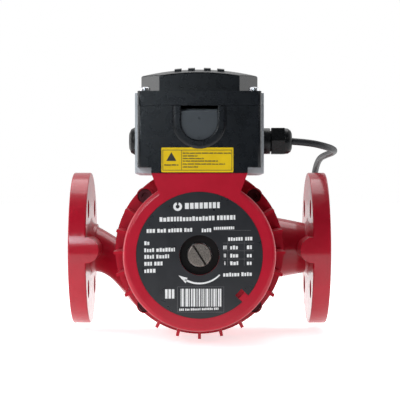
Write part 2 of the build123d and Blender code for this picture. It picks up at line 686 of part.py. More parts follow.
with BuildPart() as speed_selector:
    with BuildSketch(level(FLOOR_Z + 14.3)):
        with Locations(SELECTOR):
            Circle(12)
    extrude(amount=4)
    with BuildSketch(level(FLOOR_Z + 18.3)):
        with Locations(SELECTOR):
            SlotOverall(23, 7)
    extrude(amount=8)
    fillet(speed_selector.edges().group_by(Axis.Z)[-1], radius=1)
    with BuildSketch(level(FLOOR_Z + 14.3)):
        with Locations(SELECTOR):
            Circle(3)
    extrude(amount=-8.8)
save(speed_selector, "speed_selector")

with BuildPart() as earth_screw:
    with BuildSketch(level(FLOOR_Z)):
        with Locations((42, -140)):
            Circle(5.5)
    extrude(amount=1)
    with BuildSketch(level(FLOOR_Z + 1)):
        with Locations((42, -140)):
            Circle(4)
    extrude(amount=3)
    with BuildSketch(level(FLOOR_Z + 2.6)):
        with Locations((42, -140)):
            Rectangle(9, 1.1)
    extrude(amount=3, mode=Mode.SUBTRACT)
save(earth_screw, "earth_screw")

# ---------------------------------------------------------------- cable gland and plug
with BuildPart() as gland_body:
    gland_ring(5, 10, 47, BOX_X)
    gland_ring(5, 12, BOX_X, 65)
    gland_ring(5, 9.6, 65, 75)
save(gland_body, "gland_body")

with BuildPart() as gland_nut:
    with BuildSketch(Plane(origin=(AXIS_X + 66.2, GLAND_Y, GLAND_Z), x_dir=(0, 1, 0), z_dir=(1, 0, 0))):
        RegularPolygon(12, 6, major_radius=False)
    extrude(amount=12.1)
    turn([(78.3, 0), (78.3, 12), (81.5, 11.6), (84, 9.8), (85, 7.6), (85, 0)], axis=GLAND_AXIS,
         plane=GLAND_TURNING)
    gland_ring(0, 10, 66.2, 77, mode=Mode.SUBTRACT)
    turn([(77, 0), (77, 9.6), (82, 6.5), (82, 0)], axis=GLAND_AXIS, plane=GLAND_TURNING, mode=Mode.SUBTRACT)
    gland_ring(0, CORD_R + 0.4, 82, 85, mode=Mode.SUBTRACT)
save(gland_nut, "gland_nut")

with BuildPart() as gland_seal:
    turn([(75.2, 2.5), (75.2, 9.2), (77, 9.2), (81.5, 6.2), (81.5, 2.5)], axis=GLAND_AXIS,
         plane=GLAND_TURNING)
save(gland_seal, "gland_seal")

with BuildPart() as blanking_plug:
    turn([(-BOX_X, 0), (-BOX_X, 12.75), (-BOX_X - 3, 12.75), (-BOX_X - 6.4, 11), (-BOX_X - 8.2, 7),
          (-BOX_X - 8.6, 0)], axis=GLAND_AXIS, plane=GLAND_TURNING)
    gland_ring(0, 10, -BOX_X, -48)
    gland_ring(0, 7.5, -BOX_X + 1, -48, mode=Mode.SUBTRACT)
save(blanking_plug, "blanking_plug")

with BuildPart() as locknuts:
    for start in (49, -54):
        nut_plane = Plane(origin=(AXIS_X + start, GLAND_Y, GLAND_Z), x_dir=(0, 1, 0), z_dir=(1, 0, 0))
        with BuildSketch(nut_plane):
            RegularPolygon(13, 6, major_radius=False)
            Circle(10.05, mode=Mode.SUBTRACT)
        extrude(amount=5)
save(locknuts, "gland_locknuts")

# ---------------------------------------------------------------- supply cord
# Route from inside the gland, over the inlet flange, down behind it and the neck, and into the
# coil that lies behind the pump, as (x from the motor axis, y, z).
CORD_ROUTE = [
    (81.5, -108, 102),
    (101.2, -108, 100.8),
    (118, -98.2, 97.4),
    (127.6, -81.3, 94.8),
    (127.8, -56, 93.2),
    (124.5, -20, 92.2),
    (121.5, 16, 90),
    (120.2, 49, 80.5),
    (119.6, 74, 60),
    (117, 87.5, 33),
    (107, 94.5, 6),
    (89, 96.5, -16),
    (69, 95, -37),
    (48, 91.5, -57),
    (25, 87.5, -72.5),
    (4, 86.5, -76.35),
]
# Loose end, off the coil's upper layer and round behind it.
TAIL_ROUTE = [
    (-40.6, 155, -69.85),
    (-39.5, 173, -70.3),
    (-30, 189, -73.4),
    (-13, 200, -76),
    (6, 204, -76.35),
]


def bend_radii(route):
    """Largest arcs that fit the corners: 0.45 of the shorter run over tan of half the turn."""
    points = [Vector(AXIS_X + x, y, z) for x, y, z in route]
    radii = []
    for before, corner, after in zip(points, points[1:], points[2:]):
        turn_angle = (corner - before).get_angle(after - corner)
        shorter = min((corner - before).length, (after - corner).length)
        radii.append(0.45 * shorter / tan(radians(turn_angle / 2)))
    return points, radii


def cord_line(route):
    """Straight runs joined by tangent arcs, and a printout of the arcs' radii."""
    points, radii = bend_radii(route)
    print("bend radii", [round(radius, 1) for radius in radii])
    return FilletPolyline(*points, radius=radii)


with BuildPart() as supply_cord:
    with BuildLine() as cord_path:
        cord_line(CORD_ROUTE)
    with BuildSketch(Plane(origin=cord_path.line @ 0, z_dir=cord_path.line % 0)):
        Circle(CORD_R)
    sweep()
save(supply_cord, "supply_cord")
cord_length = sum(edge.length for edge in cord_path.edges())
print("cord volume over section times length", supply_cord.part.volume / (pi * CORD_R**2 * cord_length))

with BuildPart() as cord_tail:
    with BuildLine() as tail_path:
        cord_line(TAIL_ROUTE)
    with BuildSketch(Plane(origin=tail_path.line @ 0, z_dir=tail_path.line % 0)):
        Circle(CORD_R)
    sweep()
save(cord_tail, "cord_tail")

# Closed outer shape of five turns, three wide and two high in section.
COIL_HALF_R = 3 * CORD_R
COIL_HALF_H = 2 * CORD_R
with BuildPart() as cord_coil:
    with BuildSketch(Plane(origin=(AXIS_X + COIL_X, COIL_Y, COIL_Z), x_dir=(1, 0, 0), z_dir=(0, -1, 0))):
        with Locations((COIL_MID_R, 0)):
            RectangleRounded(2 * COIL_HALF_R, 2 * COIL_HALF_H, CORD_R * 0.9)
    revolve(axis=Axis((AXIS_X + COIL_X, COIL_Y, COIL_Z), (0, 0, 1)))
save(cord_coil, "cord_coil")
coil_length = 2 * pi * (sum(COIL_TURN_RADII) + LAST_TURN * LAST_TURN_R) + LOOSE_RUN
tail_length = sum(edge.length for edge in tail_path.edges())
print("cord length", round(cord_length + coil_length + tail_length))

TIE_GAP = 0.3
TIE_T = 1.3
TIE_X = AXIS_X + COIL_X + COIL_MID_R
with BuildPart() as cord_tie:
    with BuildSketch(Plane(origin=(TIE_X, COIL_Y - 2, COIL_Z), x_dir=(1, 0, 0), z_dir=(0, 1, 0))):
        Rectangle(2 * (COIL_HALF_R + TIE_GAP + TIE_T), 2 * (COIL_HALF_H + TIE_GAP + TIE_T))
        Rectangle(2 * (COIL_HALF_R + TIE_GAP), 2 * (COIL_HALF_H + TIE_GAP), mode=Mode.SUBTRACT)
    extrude(amount=4)
    with BuildSketch(Plane(origin=(TIE_X, COIL_Y - 3, COIL_Z), x_dir=(1, 0, 0), z_dir=(0, 1, 0))):
        with Locations((0, -(COIL_HALF_H + TIE_GAP + TIE_T + 1.5))):
            Rectangle(6, 3.2)
    extrude(amount=6)
save(cord_tie, "cord_tie")

CORE_R = 1.1
FERRULE_R = 0.8
with BuildPart() as cord_cores:
    tail_end = Plane(origin=tail_path.line @ 1, z_dir=tail_path.line % 1)
    with BuildSketch(tail_end):
        with GridLocations(2 * CORE_R + 0.2, 2 * CORE_R + 0.2, 2, 2):
            Circle(CORE_R)
    extrude(amount=22)
    with BuildSketch(tail_end.offset(22)):
        with GridLocations(2 * CORE_R + 0.2, 2 * CORE_R + 0.2, 2, 2):
            Circle(FERRULE_R)
    extrude(amount=9)
save(cord_cores, "cord_cores")
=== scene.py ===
import json
import math
import random

import bmesh
import bpy
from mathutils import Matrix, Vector


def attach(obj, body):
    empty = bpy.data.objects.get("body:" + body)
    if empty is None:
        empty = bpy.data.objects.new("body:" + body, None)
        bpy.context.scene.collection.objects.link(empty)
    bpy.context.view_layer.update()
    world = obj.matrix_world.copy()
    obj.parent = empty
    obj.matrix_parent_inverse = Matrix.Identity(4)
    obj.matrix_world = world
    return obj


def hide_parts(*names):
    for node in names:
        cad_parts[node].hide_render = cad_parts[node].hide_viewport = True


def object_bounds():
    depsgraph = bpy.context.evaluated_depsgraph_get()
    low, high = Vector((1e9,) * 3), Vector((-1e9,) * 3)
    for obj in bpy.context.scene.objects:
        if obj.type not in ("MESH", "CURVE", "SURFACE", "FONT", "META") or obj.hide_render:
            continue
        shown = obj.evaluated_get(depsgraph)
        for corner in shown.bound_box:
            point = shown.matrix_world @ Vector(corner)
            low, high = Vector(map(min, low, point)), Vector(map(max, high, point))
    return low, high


# Flanged circulator pump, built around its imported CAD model. Blender and the CAD share one frame in
# metres, +Z up: the inlet flange's face lies in x = 0, the pipe's axis runs along X through z = 0, and
# the motor's axis along Y through x = AXIS_X. Places in the tables below are in mm instead, with x
# counted from the motor's axis, and y and z from the origin.

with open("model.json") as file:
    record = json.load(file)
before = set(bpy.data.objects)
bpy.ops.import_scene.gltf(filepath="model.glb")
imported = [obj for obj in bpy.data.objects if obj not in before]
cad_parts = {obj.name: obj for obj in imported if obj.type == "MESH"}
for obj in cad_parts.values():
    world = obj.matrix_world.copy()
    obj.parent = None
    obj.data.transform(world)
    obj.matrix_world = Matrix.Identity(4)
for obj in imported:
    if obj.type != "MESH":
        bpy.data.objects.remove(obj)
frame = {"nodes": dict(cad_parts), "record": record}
cad_low, cad_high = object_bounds()
nodes = frame["nodes"]
scene = bpy.context.scene

MM = 0.001
AXIS_X = -0.125
FACE_Y = -190.0  # nameplate's front
COVER_Y = -191.0  # terminal box's front
STICKER_Y = COVER_Y - 0.3
TILT = math.tan(math.radians(1.6))  # the nameplate's print is turned a little

# ---------------------------------------------------------------- camera
CAMERA_PLACE = (-0.1245, -1.379, 0.0477)
LENS, SENSOR, NEAREST = 123.9, 36.0, 0.05  # mm, mm, m
camera_data = bpy.data.cameras.new("camera")
camera_data.lens = LENS
camera_data.sensor_width = SENSOR
camera_data.clip_start = NEAREST
camera = bpy.data.objects.new("camera", camera_data)
camera.location = CAMERA_PLACE
camera.rotation_euler = (math.radians(90), 0, 0)
scene.collection.objects.link(camera)
scene.camera = camera


# ---------------------------------------------------------------- materials
def noise(tree, place, scale, detail, roughness=0.5):
    """Noise texture node on the given coordinates."""
    made = tree.nodes.new("ShaderNodeTexNoise")
    made.inputs["Scale"].default_value = scale
    made.inputs["Detail"].default_value = detail
    made.inputs["Roughness"].default_value = roughness
    tree.links.new(place, made.inputs["Vector"])
    return made.outputs["Fac"]


def wave(tree, place, kind, direction, scale):
    """Wave texture node, in bands or rings, on the given coordinates."""
    made = tree.nodes.new("ShaderNodeTexWave")
    made.wave_type = kind
    if kind == "BANDS":
        made.bands_direction = direction
    else:
        made.rings_direction = direction
    made.inputs["Scale"].default_value = scale
    tree.links.new(place, made.inputs["Vector"])
    return made.outputs["Fac"]


def spread(tree, source, low, high):
    """Stretch the middle of a texture's range over low to high."""
    made = tree.nodes.new("ShaderNodeMapRange")
    made.inputs["From Min"].default_value = 0.3
    made.inputs["From Max"].default_value = 0.7
    made.inputs["To Min"].default_value = low
    made.inputs["To Max"].default_value = high
    tree.links.new(source, made.inputs["Value"])
    return made.outputs["Result"]


def blend(tree, source, first, second):
    """Colour between first and second by the source."""
    made = tree.nodes.new("ShaderNodeMix")
    made.data_type = "RGBA"
    made.inputs["A"].default_value = (*first, 1)
    made.inputs["B"].default_value = (*second, 1)
    tree.links.new(source, made.inputs["Factor"])
    return made.outputs["Result"]


def bumped(tree, source, depth, below=None):
    """Bump node of a depth in mm, on top of another one where below is given."""
    made = tree.nodes.new("ShaderNodeBump")
    made.inputs["Distance"].default_value = depth * MM
    made.inputs["Strength"].default_value = 1.0
    tree.links.new(source, made.inputs["Height"])
    if below is not None:
        tree.links.new(below, made.inputs["Normal"])
    return made.outputs["Normal"]


VEIL_SCALE = 2.7  # the roughness varies this much finer than the colour


def shade(name, dark, light, rough, mottle=70.0, grain=(1400.0, 0.02), swell=None, metallic=0.0,
          coat=0.0, coat_rough=0.1, specular=0.5, lines=None, about_motor=False, anisotropy=0.0):
    """Material whose colour, roughness and relief vary with place.

    dark, light: the colour's two ends; rough: the roughness's two ends; mottle: the colour
    noise's scale; grain: fine relief (scale, depth in mm); swell: slow relief (scale, depth in
    mm); lines: machined or laid lines (kind, direction, scale, depth in mm); about_motor: the
    lines run round the motor's axis. The rest are the shader's own constants.
    """
    made = bpy.data.materials.new(name)
    made.use_nodes = True
    tree = made.node_tree
    shader = tree.nodes["Principled BSDF"]
    shader.inputs["Metallic"].default_value = metallic
    shader.inputs["Coat Weight"].default_value = coat
    shader.inputs["Coat Roughness"].default_value = coat_rough
    shader.inputs["Specular IOR Level"].default_value = specular
    shader.inputs["Anisotropic"].default_value = anisotropy
    place = tree.nodes.new("ShaderNodeTexCoord").outputs["Object"]
    if about_motor:
        moved = tree.nodes.new("ShaderNodeMapping")
        moved.inputs["Location"].default_value = (-AXIS_X, 0, 0)
        tree.links.new(place, moved.inputs["Vector"])
        place = moved.outputs["Vector"]
    cloud = noise(tree, place, mottle, detail=5.0, roughness=0.6)
    tree.links.new(blend(tree, spread(tree, cloud, 0, 1), dark, light), shader.inputs["Base Color"])
    veil = noise(tree, place, mottle * VEIL_SCALE, detail=4.0)
    tree.links.new(spread(tree, veil, *rough), shader.inputs["Roughness"])
    scale, depth = grain
    normal = bumped(tree, noise(tree, place, scale, detail=2.0), depth)
    if swell:
        scale, depth = swell
        normal = bumped(tree, noise(tree, place, scale, detail=2.0), depth, below=normal)
    if lines:
        kind, direction, scale, depth = lines
        normal = bumped(tree, wave(tree, place, kind, direction, scale), depth, below=normal)
    tree.links.new(normal, shader.inputs["Normal"])
    return made


RED_DARK, RED_LIGHT = (0.36, 0.005, 0.019), (0.42, 0.006, 0.023)
BLACK_DARK, BLACK_LIGHT = (0.003, 0.004, 0.0055), (0.005, 0.0065, 0.009)

# One finish for each of the record's material slots.
finishes = {
    "red_casting": shade("red_casting", RED_DARK, RED_LIGHT, (0.36, 0.5), mottle=45, grain=(900, 0.05),
                         swell=(130, 0.5), coat=0.7, coat_rough=0.14, specular=0.12),
    "red_motor_casting": shade("red_motor_casting", RED_DARK, RED_LIGHT, (0.36, 0.46), mottle=60,
                               grain=(1500, 0.02), swell=(220, 0.05), coat=0.4, coat_rough=0.16,
                               specular=0.12),
    "stainless": shade("stainless", (0.50, 0.50, 0.50), (0.62, 0.62, 0.63), (0.22, 0.36), metallic=1.0,
                       grain=(2500, 0.004), lines=("RINGS", "Y", 900, 0.004), about_motor=True,
                       anisotropy=0.4),
    "carbon": shade("carbon", (0.020, 0.020, 0.022), (0.035, 0.035, 0.037), (0.5, 0.65), mottle=300,
                    grain=(3000, 0.01)),
    "laminations": shade("laminations", (0.20, 0.21, 0.23), (0.30, 0.31, 0.33), (0.35, 0.5),
                         metallic=0.9, lines=("BANDS", "Y", 300, 0.03)),
    "aluminium": shade("aluminium", (0.62, 0.62, 0.64), (0.75, 0.75, 0.77), (0.3, 0.45), metallic=1.0,
                       grain=(1200, 0.02)),
    "copper_enamel": shade("copper_enamel", (0.30, 0.09, 0.025), (0.50, 0.19, 0.06), (0.18, 0.32),
                           mottle=400, coat=0.6, lines=("RINGS", "Y", 330, 0.25), about_motor=True),
    "zinc_steel": shade("zinc_steel", (0.52, 0.53, 0.56), (0.70, 0.71, 0.74), (0.2, 0.36), mottle=400,
                        metallic=1.0, grain=(2500, 0.006)),
    "nickel_brass": shade("nickel_brass", (0.20, 0.17, 0.15), (0.34, 0.30, 0.27), (0.24, 0.40),
                          mottle=900, metallic=1.0, grain=(2600, 0.004),
                          lines=("RINGS", "Y", 1500, 0.002), about_motor=True, anisotropy=0.3),
    "brass": shade("brass", (0.62, 0.43, 0.16), (0.78, 0.58, 0.27), (0.22, 0.34), mottle=500,
                   metallic=1.0, grain=(2500, 0.005)),
    "nameplate_print": shade("nameplate_print", (0.009, 0.0095, 0.012), (0.014, 0.0145, 0.018),
                             (0.27, 0.33), mottle=40, grain=(3500, 0.006)),
    "yellow_print": shade("yellow_print", (0.66, 0.44, 0.004), (0.74, 0.51, 0.007), (0.35, 0.45),
                          mottle=80, grain=(2500, 0.004), specular=0.2),
    "black_plastic": shade("black_plastic", BLACK_DARK, BLACK_LIGHT, (0.25, 0.31), mottle=50,
                           grain=(3200, 0.006), swell=(60, 0.03), specular=0.32),
    "black_gland": shade("black_gland", (0.004, 0.0045, 0.005), (0.007, 0.008, 0.009), (0.24, 0.34),
                         mottle=90, grain=(3000, 0.006), specular=0.2),
    "grey_plastic": shade("grey_plastic", (0.44, 0.47, 0.50), (0.49, 0.52, 0.55), (0.35, 0.45),
                          mottle=60, grain=(3000, 0.01)),
    "dark_grey_plastic": shade("dark_grey_plastic", (0.030, 0.036, 0.043), (0.038, 0.045, 0.053),
                               (0.40, 0.5), mottle=60, grain=(3200, 0.01)),
    "black_steel": shade("black_steel", (0.045, 0.007, 0.010), (0.085, 0.012, 0.018), (0.32, 0.46),
                         mottle=400, metallic=0.7, grain=(2500, 0.008)),
    "white_plastic": shade("white_plastic", (0.62, 0.62, 0.58), (0.70, 0.70, 0.66), (0.35, 0.45),
                           mottle=80, grain=(3000, 0.01)),
    "red_plastic": shade("red_plastic", (0.48, 0.02, 0.015), (0.56, 0.03, 0.02), (0.22, 0.32),
                         mottle=80, grain=(3000, 0.006)),
    "black_rubber": shade("black_rubber", (0.003, 0.003, 0.003), (0.006, 0.005, 0.005), (0.5, 0.65),
                          mottle=200, grain=(2500, 0.02), specular=0.15),
    "cord_sheath": shade("cord_sheath", (0.010, 0.011, 0.013), (0.018, 0.019, 0.023), (0.38, 0.5),
                         mottle=150, grain=(2200, 0.01), specular=0.3),
    "core_insulation": shade("core_insulation", (0.10, 0.035, 0.012), (0.15, 0.05, 0.02), (0.3, 0.4),
                             mottle=200),
}
white_ink = shade("white_ink", (0.66, 0.66, 0.66), (0.78, 0.78, 0.78), (0.4, 0.5), mottle=500,
                  grain=(3500, 0.004))
grey_ink = shade("grey_ink", (0.10, 0.10, 0.105), (0.15, 0.15, 0.155), (0.4, 0.5), mottle=500,
                 grain=(3500, 0.004))
black_ink = shade("black_ink", (0.010, 0.010, 0.008), (0.016, 0.015, 0.010), (0.35, 0.45), mottle=500,
                  grain=(3500, 0.004))
# Dark colour of the strip that paints the shade in the vent screw's slot.
painted_slot_shade = shade("painted_slot_shade", (0.010, 0.008, 0.007), (0.030, 0.024, 0.020), (0.5, 0.7), mottle=900,
                   grain=(2600, 0.01), specular=0.2)
pale_floor = shade("pale_floor", (0.90, 0.90, 0.90), (0.94, 0.94, 0.94), (0.7, 0.8), mottle=3,
                   grain=(300, 0.01), specular=0.1)
FLOOR_GLOW = 0.66  # brings the floor up to the white background
glow = pale_floor.node_tree.nodes["Principled BSDF"]
glow.inputs["Emission Color"].default_value = (1, 1, 1, 1)
glow.inputs["Emission Strength"].default_value = FLOOR_GLOW

for part in frame["record"]["subparts"]:
    holder = nodes[part["node"]]
    holder.data.materials.clear()
    holder.data.materials.append(finishes[part["material_slot"]])

# Small broken edges, in mm, on parts whose edges would otherwise be razor sharp.
EDGE_BREAKS = {
    "terminal_box_lid": 1.0, "terminal_box_front": 0.4, "terminal_box_base": 0.5,
    "module_blank_plate": 0.3, "motor_housing": 0.4, "gland_nut": 0.3, "gland_body": 0.3,
    "lid_screws": 0.2, "vent_screw": 0.15, "motor_screws": 0.3, "blanking_plug": 0.4,
    "terminal_block": 0.3,
}
SHARP_FROM = math.radians(40)
for name, width in EDGE_BREAKS.items():
    weld = nodes[name].modifiers.new("weld", "WELD")
    weld.merge_threshold = 0.00001
    bevel = nodes[name].modifiers.new("edge_break", "BEVEL")
    bevel.width = width * MM
    bevel.segments = 2
    bevel.limit_method = "ANGLE"
    bevel.angle_limit = SHARP_FROM
    bevel.use_clamp_overlap = True

# ---------------------------------------------------------------- supply lead
# Out of the gland, over the inlet flange and down behind it to the floor, then into the coil.
ROUTE = [(81.5, -108, 102), (101.2, -108, 100.8), (118, -98.2, 97.4), (127.6, -81.3, 94.8),
         (127.8, -56, 93.2), (124.5, -20, 92.2), (121.5, 16, 90), (120.2, 49, 80.5), (119.6, 74, 60),
         (117, 87.5, 33), (107, 94.5, 6), (89, 96.5, -16), (69, 95, -37), (48, 91.5, -57),
         (25, 87.5, -72.5)]
TAIL = [(-40.6, 155, -69.85), (-39.5, 173, -70.3), (-30, 189, -73.4), (-13, 200, -76),
        (6, 204, -76.35)]
CORD_R = 3.25
COIL_X, COIL_Y = 0.0, 130.0
LAYERS = (-76.35, -69.85)
TURN_RADII = (43.5, 37.0, 30.5, 30.5, 37.0, 40.6)
TURN_LAYERS = (0, 0, 0, 1, 1, 1)
TURN_POINTS = 16
LAST_TURN_POINTS = 4
SHIFT_FROM = 0.72  # share of a turn after which it moves over to the next one
SPLINE_GROWTH = 1.0194  # a quadratic spline runs this much inside points 22.5 degrees apart
CORD_STEPS, CORD_FACETS = 8, 5  # along each stretch, and round the lead


def eased(share):
    """Smooth step from 0 to 1."""
    return share * share * (3 - 2 * share)


coil = []
for step in range(TURN_POINTS * (len(TURN_RADII) - 1) + LAST_TURN_POINTS + 1):
    turn, share = divmod(step / TURN_POINTS, 1)
    turn = int(turn)
    following = min(turn + 1, len(TURN_RADII) - 1)
    moved = eased(max(0.0, (share - SHIFT_FROM) / (1 - SHIFT_FROM)))
    radius = TURN_RADII[turn] + (TURN_RADII[following] - TURN_RADII[turn]) * moved
    layer = LAYERS[TURN_LAYERS[turn]]
    layer += (LAYERS[TURN_LAYERS[following]] - layer) * moved
    angle = 2 * math.pi * step / TURN_POINTS
    reach = radius * SPLINE_GROWTH
    coil.append((COIL_X - reach * math.sin(angle), COIL_Y - reach * math.cos(angle), layer))

cord_points = ROUTE + coil + TAIL
cord_data = bpy.data.curves.new("supply_lead", "CURVE")
cord_data.dimensions = "3D"
spline = cord_data.splines.new("NURBS")
spline.points.add(len(cord_points) - 1)
for point, (x, y, z) in zip(spline.points, cord_points):
    point.co = (AXIS_X + x * MM, y * MM, z * MM, 1)
spline.order_u = 3
spline.use_endpoint_u = True
spline.resolution_u = CORD_STEPS
cord_data.resolution_u = CORD_STEPS
cord_data.bevel_depth = CORD_R * MM
cord_data.bevel_resolution = CORD_FACETS
cord_data.use_fill_caps = True
lead = bpy.data.objects.new("supply_lead", cord_data)
scene.collection.objects.link(lead)
cord_data.materials.append(finishes["cord_sheath"])
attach(lead, "pump")
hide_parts("supply_cord", "cord_coil", "cord_tail")


# ---------------------------------------------------------------- mesh helpers
def bridge(made, first, second):
    """Quads between two rings of points."""
    for i in range(len(first)):
        j = (i + 1) % len(first)
        made.faces.new((first[i], first[j], second[j], second[i]))


def finish_piece(made, name, finish, body="pump", smooth=False):
    """Turn a closed bmesh into a piece that rides on a body."""
    bmesh.ops.recalc_face_normals(made, faces=made.faces)
    mesh = bpy.data.meshes.new(name)
    made.to_mesh(mesh)
    made.free()
    for polygon in mesh.polygons:
        polygon.use_smooth = smooth
    mesh.materials.append(finish)
    piece = bpy.data.objects.new(name, mesh)
    scene.collection.objects.link(piece)
    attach(piece, body)


INK_FRONT, INK_BACK = 0.06, 0.002  # how far printed ink's two sides stand off the surface


def print_piece(name, outlines, face_y, finish, body="pump"):
    """Thin raised ink: flat outlines in x and z, standing on a front face."""
    made = bmesh.new()
    for outline in outlines:
        front, back = [[made.verts.new((AXIS_X + x * MM, (face_y - off) * MM, z * MM)) for x, z in outline]
                       for off in (INK_FRONT, INK_BACK)]
        made.faces.new(front)
        made.faces.new(back[::-1])
        bridge(made, back, front)
    finish_piece(made, name, finish, body)


def bar(x_low, x_high, z_low, z_high):
    """Upright rectangle as an outline."""
    return [(x_low, z_low), (x_high, z_low), (x_high, z_high), (x_low, z_high)]


def polar(radius, angle):
    """Place at a radius and an angle round the motor's axis, as x and z."""
    return radius * math.cos(angle), radius * math.sin(angle)


# Shares of the row's height.
BLOCK_WIDTHS = (0.42, 0.66)
BLOCK_HALF_HEIGHTS = (0.5, 0.5, 0.42)
BLOCK_GAP, WORD_GAP, LEAST_LEFT = 0.2, 0.4, 0.3
WORD_BLOCKS = (3, 7)


def greeked(x_low, x_high, z_mid, height, dice, tilt=0.0, spaces=True):
    """Row of plain blocks that stands for a line of text."""
    made = []
    x = x_low
    middle = (x_low + x_high) / 2
    left_in_word = dice.randint(*WORD_BLOCKS)
    while x < x_high - LEAST_LEFT * height:
        width = min(height * dice.uniform(*BLOCK_WIDTHS), x_high - x)
        rise = height * dice.choice(BLOCK_HALF_HEIGHTS)
        foot = z_mid + (x + width / 2 - middle) * tilt - height / 2
        made.append(bar(x, x + width, foot, foot + 2 * rise))
        x += width + height * BLOCK_GAP
        left_in_word -= 1
        if spaces and left_in_word == 0:
            x += height * WORD_GAP
            left_in_word = dice.randint(*WORD_BLOCKS)
    return made


# ---------------------------------------------------------------- nameplate print
dice = random.Random(7)
TEXT = 3.3  # height of most rows
words = []
# Title, type and number rows: (from x, to x, middle z, height).
for row in ((-12.5, 17.7, 42.9, 5.2), (-34.4, 13.6, 31.5, 3.9), (15.2, 30.9, 32.5, 3.9)):
    words += greeked(*row, dice, TILT, spaces=False)
words += greeked(-45.6, -6.3, 21.4, TEXT, dice, TILT)
for row in ((2.0, 10.6, 21.6, TEXT), (12.4, 30.1, 23.4, 2.4)):
    words += greeked(*row, dice, TILT, spaces=False)
# Ratings on the left: (middle z, to x).
for z, end in ((10.4, -42.7), (4.6, -21.2), (-1.2, -26.2), (-7.3, -31.9), (-13.5, -37.7)):
    words += greeked(-47.6, end, z, TEXT, dice, TILT)
# Table on the right: its headings, then a row of strokes and two values for each speed.
for row in ((24.9, 37.3, 14.0, 3.0), (39.6, 46.4, 14.3, 3.0)):
    words += greeked(*row, dice, TILT, spaces=False)
STROKE_X, STROKE_STEP, STROKE_HALF, STROKE_RISE = 22.0, 1.1, 0.35, 1.6
for z, strokes in ((6.7, 3), (-0.3, 2), (-6.9, 1)):
    for i in range(strokes):
        middle = STROKE_X + (i - (strokes - 1) / 2) * STROKE_STEP
        words.append(bar(middle - STROKE_HALF, middle + STROKE_HALF, z - STROKE_RISE, z + STROKE_RISE))
    words += greeked(26.6, 33.5, z, TEXT, dice, TILT, spaces=False)
    words += greeked(41.0, 46.6, z + 0.2, TEXT, dice, TILT, spaces=False)
# Last rating, and the row under the bars.
words += greeked(20.6, 46.2, -16.5, TEXT, dice, TILT)
words += greeked(-17.4, 17.4, -46.6, 1.9, dice, TILT)

# Plain round mark: a ring with a gap at its top.
MARK_X, MARK_Z, MARK_OUT, MARK_IN = -18.8, 42.0, 3.8, 1.7
MARK_STEPS = 24
MARK_GAP = math.radians(35)
swept = [math.pi / 2 + MARK_GAP / 2 + (2 * math.pi - MARK_GAP) * i / MARK_STEPS
         for i in range(MARK_STEPS + 1)]
for first, second in zip(swept, swept[1:]):
    words.append([(MARK_X + r * math.cos(a), MARK_Z + r * math.sin(a))
                  for r, a in ((MARK_IN, first), (MARK_OUT, first), (MARK_OUT, second), (MARK_IN, second))])

# Bars of unequal widths, then three plain blocks to their left.
BARS_FROM, BARS_TO, BARS_END, BARS_LOW, BARS_HIGH = -16.2, 18.4, 18.9, -44.3, -29.0
x = BARS_FROM
while x < BARS_TO:
    width = dice.choice((0.45, 0.8, 1.3, 1.7))
    words.append(bar(x, min(x + width, BARS_END), BARS_LOW, BARS_HIGH))
    x += width + dice.choice((0.45, 0.7, 1.1))
BLOCK_STEP = 2.9
for i in range(3):
    words.append(bar(-29.6 + BLOCK_STEP * i, -27.5 + BLOCK_STEP * i, -37.4, -29.4))

# Arrow round the vent screw, clockwise, widening a little towards its head. Angles in degrees.
ARROW_R, ARROW_FROM, ARROW_TO, ARROW_STEPS = 24.4, -44.0, -120.0, 24
ARROW_HALF, ARROW_GROWTH = 0.6, 0.25
ARROW_HEAD = ((22.2, -118), (27.0, -116), (25.2, -136))
for i in range(ARROW_STEPS):
    quad = []
    for share, side in ((i, -1), (i, 1), (i + 1, 1), (i + 1, -1)):
        share /= ARROW_STEPS
        angle = math.radians(ARROW_FROM + (ARROW_TO - ARROW_FROM) * share)
        quad.append(polar(ARROW_R + side * (ARROW_HALF + ARROW_GROWTH * share), angle))
    words.append(quad)
words.append([polar(radius, math.radians(angle)) for radius, angle in ARROW_HEAD])
print_piece("nameplate_marks", words, FACE_Y, white_ink)

# Thin rules: under the number, in the table, and round the bars.
LINE = 0.22
CODE_LEFT, CODE_RIGHT, CODE_LOW, CODE_HIGH = -19.1, 21.2, -49.2, -27.4
thin = [bar(12.0, 44.6, 21.4, 21.4 + LINE)]
for z in (10.4, 3.7, -3.4):
    thin.append(bar(20.3, 47.2, z, z + LINE))
for x in (24.3, 38.6):
    thin.append(bar(x, x + LINE, -9.4, 16.0))
thin += [bar(CODE_LEFT, CODE_RIGHT, CODE_LOW, CODE_LOW + LINE),
         bar(CODE_LEFT, CODE_RIGHT, CODE_HIGH, CODE_HIGH + LINE),
         bar(CODE_LEFT, CODE_LEFT + LINE, CODE_LOW, CODE_HIGH),
         bar(CODE_RIGHT - LINE, CODE_RIGHT, CODE_LOW, CODE_HIGH)]
print_piece("nameplate_rules", thin, FACE_Y, grey_ink)

# ---------------------------------------------------------------- sticker print
RULE, DIVIDER_X, DIVIDER = 0.45, -15.6, 0.35
LABEL_LEFT, LABEL_RIGHT, LABEL_LOW, LABEL_HIGH = -31.8, 28.2, 73.2, 91.0
TRIANGLE = [(-28.6, 81.4), (-19.8, 81.4), (-24.2, 89.0)]
SMALL_TEXT = 1.15
marks = [bar(LABEL_LEFT, LABEL_RIGHT, LABEL_HIGH - RULE, LABEL_HIGH),
         bar(LABEL_LEFT, LABEL_RIGHT, LABEL_LOW, LABEL_LOW + RULE),
         bar(LABEL_LEFT, LABEL_LEFT + RULE, LABEL_LOW, LABEL_HIGH),
         bar(LABEL_RIGHT - RULE, LABEL_RIGHT, LABEL_LOW, LABEL_HIGH),
         bar(DIVIDER_X, DIVIDER_X + DIVIDER, LABEL_LOW, LABEL_HIGH), TRIANGLE]
marks += greeked(-30.2, -18.2, 77.9, 1.3, dice)
